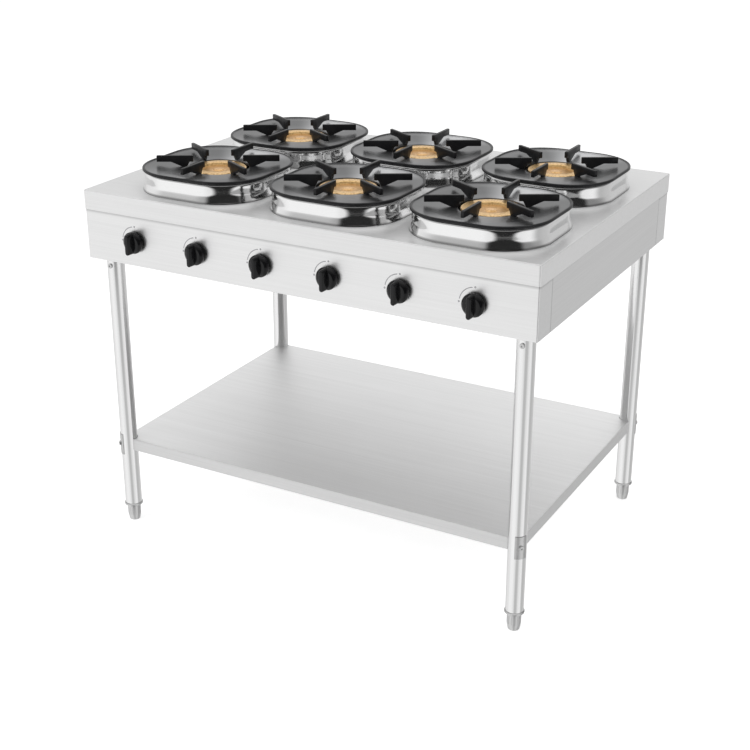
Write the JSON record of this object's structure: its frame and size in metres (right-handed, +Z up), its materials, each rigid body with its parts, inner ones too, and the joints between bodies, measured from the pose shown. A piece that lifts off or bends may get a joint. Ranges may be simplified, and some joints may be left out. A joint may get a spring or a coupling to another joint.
{
  "type": "commercial gas range",
  "caption": "Free-standing gas range with dished cast pan supports over brass burners, push-and-turn valve knobs, and a tube stand with a shelf and levelling feet.",
  "frame": {"origin": "on the floor, under the middle of the overall box", "axes": "+X to the right seen from the front, +Y to the back, +Z up"},
  "size_m": [1.05, 0.793, 0.864],
  "materials": {
    "brushed_steel": "brushed stainless sheet",
    "polished_steel": "mirror polished stainless",
    "cast_iron": "black satin enamel",
    "burner_casting": "bare grey casting",
    "brass": "turned satin",
    "knob_plastic": "gloss black",
    "bright_steel": "bright turned",
    "foot_steel": "satin stainless",
    "plated_steel": "zinc plated",
    "pipe_steel": "dull grey paint",
    "pipe_aluminium": "drawn"
  },
  "bodies": {
    "stand": {"surround_1": "polished_steel", "burner_1": "burner_casting", "surround_2": "polished_steel", "burner_2": "burner_casting", "surround_3": "polished_steel", "burner_3": "burner_casting", "surround_4": "polished_steel", "burner_4": "burner_casting", "surround_5": "polished_steel", "burner_5": "burner_casting", "surround_6": "polished_steel", "burner_6": "burner_casting", "leg_1": "polished_steel", "leg_2": "polished_steel", "leg_3": "polished_steel", "leg_4": "polished_steel", "deck": "brushed_steel", "front_panel": "brushed_steel", "rear_panel": "brushed_steel", "side_panel_left": "brushed_steel", "side_panel_right": "brushed_steel", "shelf": "brushed_steel", "shelf_saddles": "brushed_steel", "foot_inserts": "foot_steel", "leg_sockets": "plated_steel", "burner_rails": "plated_steel", "leg_set_screws": "bright_steel", "shelf_screws": "bright_steel", "gas_valves": "brass", "gas_inlet": "brass", "manifold_pipe": "pipe_steel", "gas_pipes": "pipe_aluminium"},
    "pan_support_1": {"pan_support_1": "cast_iron"},
    "burner_cap_1": {"burner_cap_1": "brass"},
    "valve_spindle_1": {"valve_spindle_1": "bright_steel"},
    "knob_1": {"knob_1": "knob_plastic"},
    "pan_support_2": {"pan_support_2": "cast_iron"},
    "burner_cap_2": {"burner_cap_2": "brass"},
    "valve_spindle_2": {"valve_spindle_2": "bright_steel"},
    "knob_2": {"knob_2": "knob_plastic"},
    "pan_support_3": {"pan_support_3": "cast_iron"},
    "burner_cap_3": {"burner_cap_3": "brass"},
    "valve_spindle_3": {"valve_spindle_3": "bright_steel"},
    "knob_3": {"knob_3": "knob_plastic"},
    "pan_support_4": {"pan_support_4": "cast_iron"},
    "burner_cap_4": {"burner_cap_4": "brass"},
    "valve_spindle_4": {"valve_spindle_4": "bright_steel"},
    "knob_4": {"knob_4": "knob_plastic"},
    "pan_support_5": {"pan_support_5": "cast_iron"},
    "burner_cap_5": {"burner_cap_5": "brass"},
    "valve_spindle_5": {"valve_spindle_5": "bright_steel"},
    "knob_5": {"knob_5": "knob_plastic"},
    "pan_support_6": {"pan_support_6": "cast_iron"},
    "burner_cap_6": {"burner_cap_6": "brass"},
    "valve_spindle_6": {"valve_spindle_6": "bright_steel"},
    "knob_6": {"knob_6": "knob_plastic"},
    "foot_1": {"foot_1": "foot_steel"},
    "foot_2": {"foot_2": "foot_steel"},
    "foot_3": {"foot_3": "foot_steel"},
    "foot_4": {"foot_4": "foot_steel"}
  },
  "joints": [
    {"name": "pan_support_lift_1", "type": "slide", "parent": "stand", "child": "pan_support_1", "axis": [0, 0, 1], "range_m": [0, 0.06]},
    {"name": "burner_cap_lift_1", "type": "slide", "parent": "stand", "child": "burner_cap_1", "axis": [0, 0, 1], "range_m": [0, 0.011]},
    {"name": "knob_turn_1", "type": "hinge", "parent": "stand", "child": "valve_spindle_1", "pos_m": [-0.395, -0.3645, 0.703], "axis": [0, -1, 0], "range_deg": [0, 90]},
    {"name": "knob_push_1", "type": "slide", "parent": "valve_spindle_1", "child": "knob_1", "axis": [0, 1, 0], "range_m": [0, 0.0035], "stiffness_N_per_m": 900},
    {"name": "pan_support_lift_2", "type": "slide", "parent": "stand", "child": "pan_support_2", "axis": [0, 0, 1], "range_m": [0, 0.06]},
    {"name": "burner_cap_lift_2", "type": "slide", "parent": "stand", "child": "burner_cap_2", "axis": [0, 0, 1], "range_m": [0, 0.011]},
    {"name": "knob_turn_2", "type": "hinge", "parent": "stand", "child": "valve_spindle_2", "pos_m": [-0.237, -0.3645, 0.703], "axis": [0, -1, 0], "range_deg": [0, 90]},
    {"name": "knob_push_2", "type": "slide", "parent": "valve_spindle_2", "child": "knob_2", "axis": [0, 1, 0], "range_m": [0, 0.0035], "stiffness_N_per_m": 900},
    {"name": "pan_support_lift_3", "type": "slide", "parent": "stand", "child": "pan_support_3", "axis": [0, 0, 1], "range_m": [0, 0.06]},
    {"name": "burner_cap_lift_3", "type": "slide", "parent": "stand", "child": "burner_cap_3", "axis": [0, 0, 1], "range_m": [0, 0.011]},
    {"name": "knob_turn_3", "type": "hinge", "parent": "stand", "child": "valve_spindle_3", "pos_m": [-0.079, -0.3645, 0.703], "axis": [0, -1, 0], "range_deg": [0, 90]},
    {"name": "knob_push_3", "type": "slide", "parent": "valve_spindle_3", "child": "knob_3", "axis": [0, 1, 0], "range_m": [0, 0.0035], "stiffness_N_per_m": 900},
    {"name": "pan_support_lift_4", "type": "slide", "parent": "stand", "child": "pan_support_4", "axis": [0, 0, 1], "range_m": [0, 0.06]},
    {"name": "burner_cap_lift_4", "type": "slide", "parent": "stand", "child": "burner_cap_4", "axis": [0, 0, 1], "range_m": [0, 0.011]},
    {"name": "knob_turn_4", "type": "hinge", "parent": "stand", "child": "valve_spindle_4", "pos_m": [0.079, -0.3645, 0.703], "axis": [0, -1, 0], "range_deg": [0, 90]},
    {"name": "knob_push_4", "type": "slide", "parent": "valve_spindle_4", "child": "knob_4", "axis": [0, 1, 0], "range_m": [0, 0.0035], "stiffness_N_per_m": 900},
    {"name": "pan_support_lift_5", "type": "slide", "parent": "stand", "child": "pan_support_5", "axis": [0, 0, 1], "range_m": [0, 0.06]},
    {"name": "burner_cap_lift_5", "type": "slide", "parent": "stand", "child": "burner_cap_5", "axis": [0, 0, 1], "range_m": [0, 0.011]},
    {"name": "knob_turn_5", "type": "hinge", "parent": "stand", "child": "valve_spindle_5", "pos_m": [0.237, -0.3645, 0.703], "axis": [0, -1, 0], "range_deg": [0, 90]},
    {"name": "knob_push_5", "type": "slide", "parent": "valve_spindle_5", "child": "knob_5", "axis": [0, 1, 0], "range_m": [0, 0.0035], "stiffness_N_per_m": 900},
    {"name": "pan_support_lift_6", "type": "slide", "parent": "stand", "child": "pan_support_6", "axis": [0, 0, 1], "range_m": [0, 0.06]},
    {"name": "burner_cap_lift_6", "type": "slide", "parent": "stand", "child": "burner_cap_6", "axis": [0, 0, 1], "range_m": [0, 0.011]},
    {"name": "knob_turn_6", "type": "hinge", "parent": "stand", "child": "valve_spindle_6", "pos_m": [0.395, -0.3645, 0.703], "axis": [0, -1, 0], "range_deg": [0, 90]},
    {"name": "knob_push_6", "type": "slide", "parent": "valve_spindle_6", "child": "knob_6", "axis": [0, 1, 0], "range_m": [0, 0.0035], "stiffness_N_per_m": 900},
    {"name": "foot_turn_1", "type": "hinge", "parent": "stand", "child": "foot_1", "pos_m": [-0.485, -0.3255, 0.02], "axis": [0, 0, 1], "continuous": true},
    {"name": "foot_turn_2", "type": "hinge", "parent": "stand", "child": "foot_2", "pos_m": [0.485, -0.3255, 0.02], "axis": [0, 0, 1], "continuous": true},
    {"name": "foot_turn_3", "type": "hinge", "parent": "stand", "child": "foot_3", "pos_m": [0.485, 0.3255, 0.02], "axis": [0, 0, 1], "continuous": true},
    {"name": "foot_turn_4", "type": "hinge", "parent": "stand", "child": "foot_4", "pos_m": [-0.485, 0.3255, 0.02], "axis": [0, 0, 1], "continuous": true}
  ]
}
